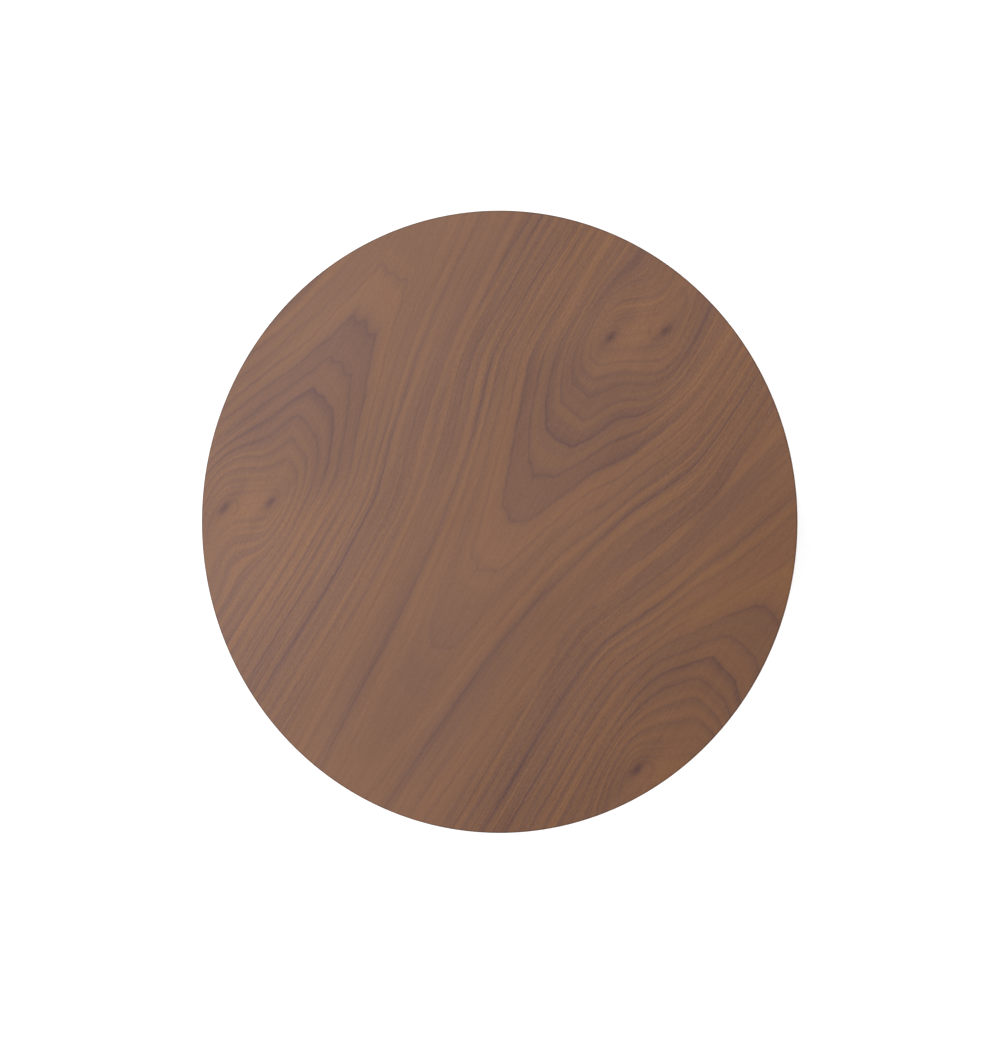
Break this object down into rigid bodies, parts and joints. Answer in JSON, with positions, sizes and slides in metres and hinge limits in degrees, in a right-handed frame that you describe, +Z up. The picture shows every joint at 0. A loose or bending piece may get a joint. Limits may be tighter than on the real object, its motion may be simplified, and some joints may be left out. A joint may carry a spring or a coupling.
{
  "type": "tilt top table",
  "caption": "Round pedestal side table with a walnut-veneered top that tilts upright on a pin and locks level with a spring bolt.",
  "frame": {"origin": "on the floor, under the middle of the column and of the level top", "axes": "+Z up; the tilt pin runs along Y on the +X side of the column, and the latch is on the -X side"},
  "size_m": [0.6, 0.6, 0.73],
  "materials": {
    "walnut_face": "satin lacquered book-matched veneer",
    "walnut_edge": "satin lacquered solid wood",
    "core_board": "bare fibreboard",
    "backing": "matt sealed veneer",
    "brass": "plain turned",
    "black_coat": "fine-texture powder coat",
    "cast_alloy": "as-cast, shot blasted",
    "zinc_steel": "bright zinc plate",
    "iron": "painted casting",
    "black_rubber": "moulded",
    "nylon": "moulded",
    "knob_plastic": "moulded"
  },
  "bodies": {
    "base": {"glide_pads": "black_rubber", "glide_screws": "zinc_steel", "base_ballast": "iron", "base_cover": "black_coat", "tie_rod": "zinc_steel", "tie_rod_nut": "zinc_steel", "tie_rod_washer": "zinc_steel", "column_tube": "black_coat", "column_plug": "zinc_steel", "column_collar": "black_coat", "tilt_head": "cast_alloy", "pivot_bushes": "nylon", "rest_buffers": "black_rubber", "tilt_stop_buffer": "black_rubber", "strike_plate": "zinc_steel", "strike_screws": "zinc_steel"},
    "top": {"top_veneer": "walnut_face", "top_lipping": "walnut_edge", "top_core": "core_board", "backing_veneer": "backing", "threaded_inserts": "brass", "mounting_plate": "black_coat", "plate_screws": "zinc_steel", "pivot_shaft": "zinc_steel", "retaining_clips": "zinc_steel", "latch_housing": "cast_alloy", "housing_screws": "zinc_steel"},
    "latch": {"latch_bolt": "zinc_steel", "latch_collar": "zinc_steel", "latch_pin": "zinc_steel", "latch_spring": "zinc_steel", "latch_knob": "knob_plastic"}
  },
  "joints": [
    {"name": "top_tilt", "type": "hinge", "parent": "base", "child": "top", "pos_m": [0.048, 0, 0.6888], "axis": [0, 1, 0], "range_deg": [0, 90]},
    {"name": "latch_slide", "type": "slide", "parent": "top", "child": "latch", "axis": [-1, 0, 0], "range_m": [0, 0.01], "stiffness_N_per_m": 800, "springref_m": -0.006, "deforming": ["latch_spring"]}
  ]
}
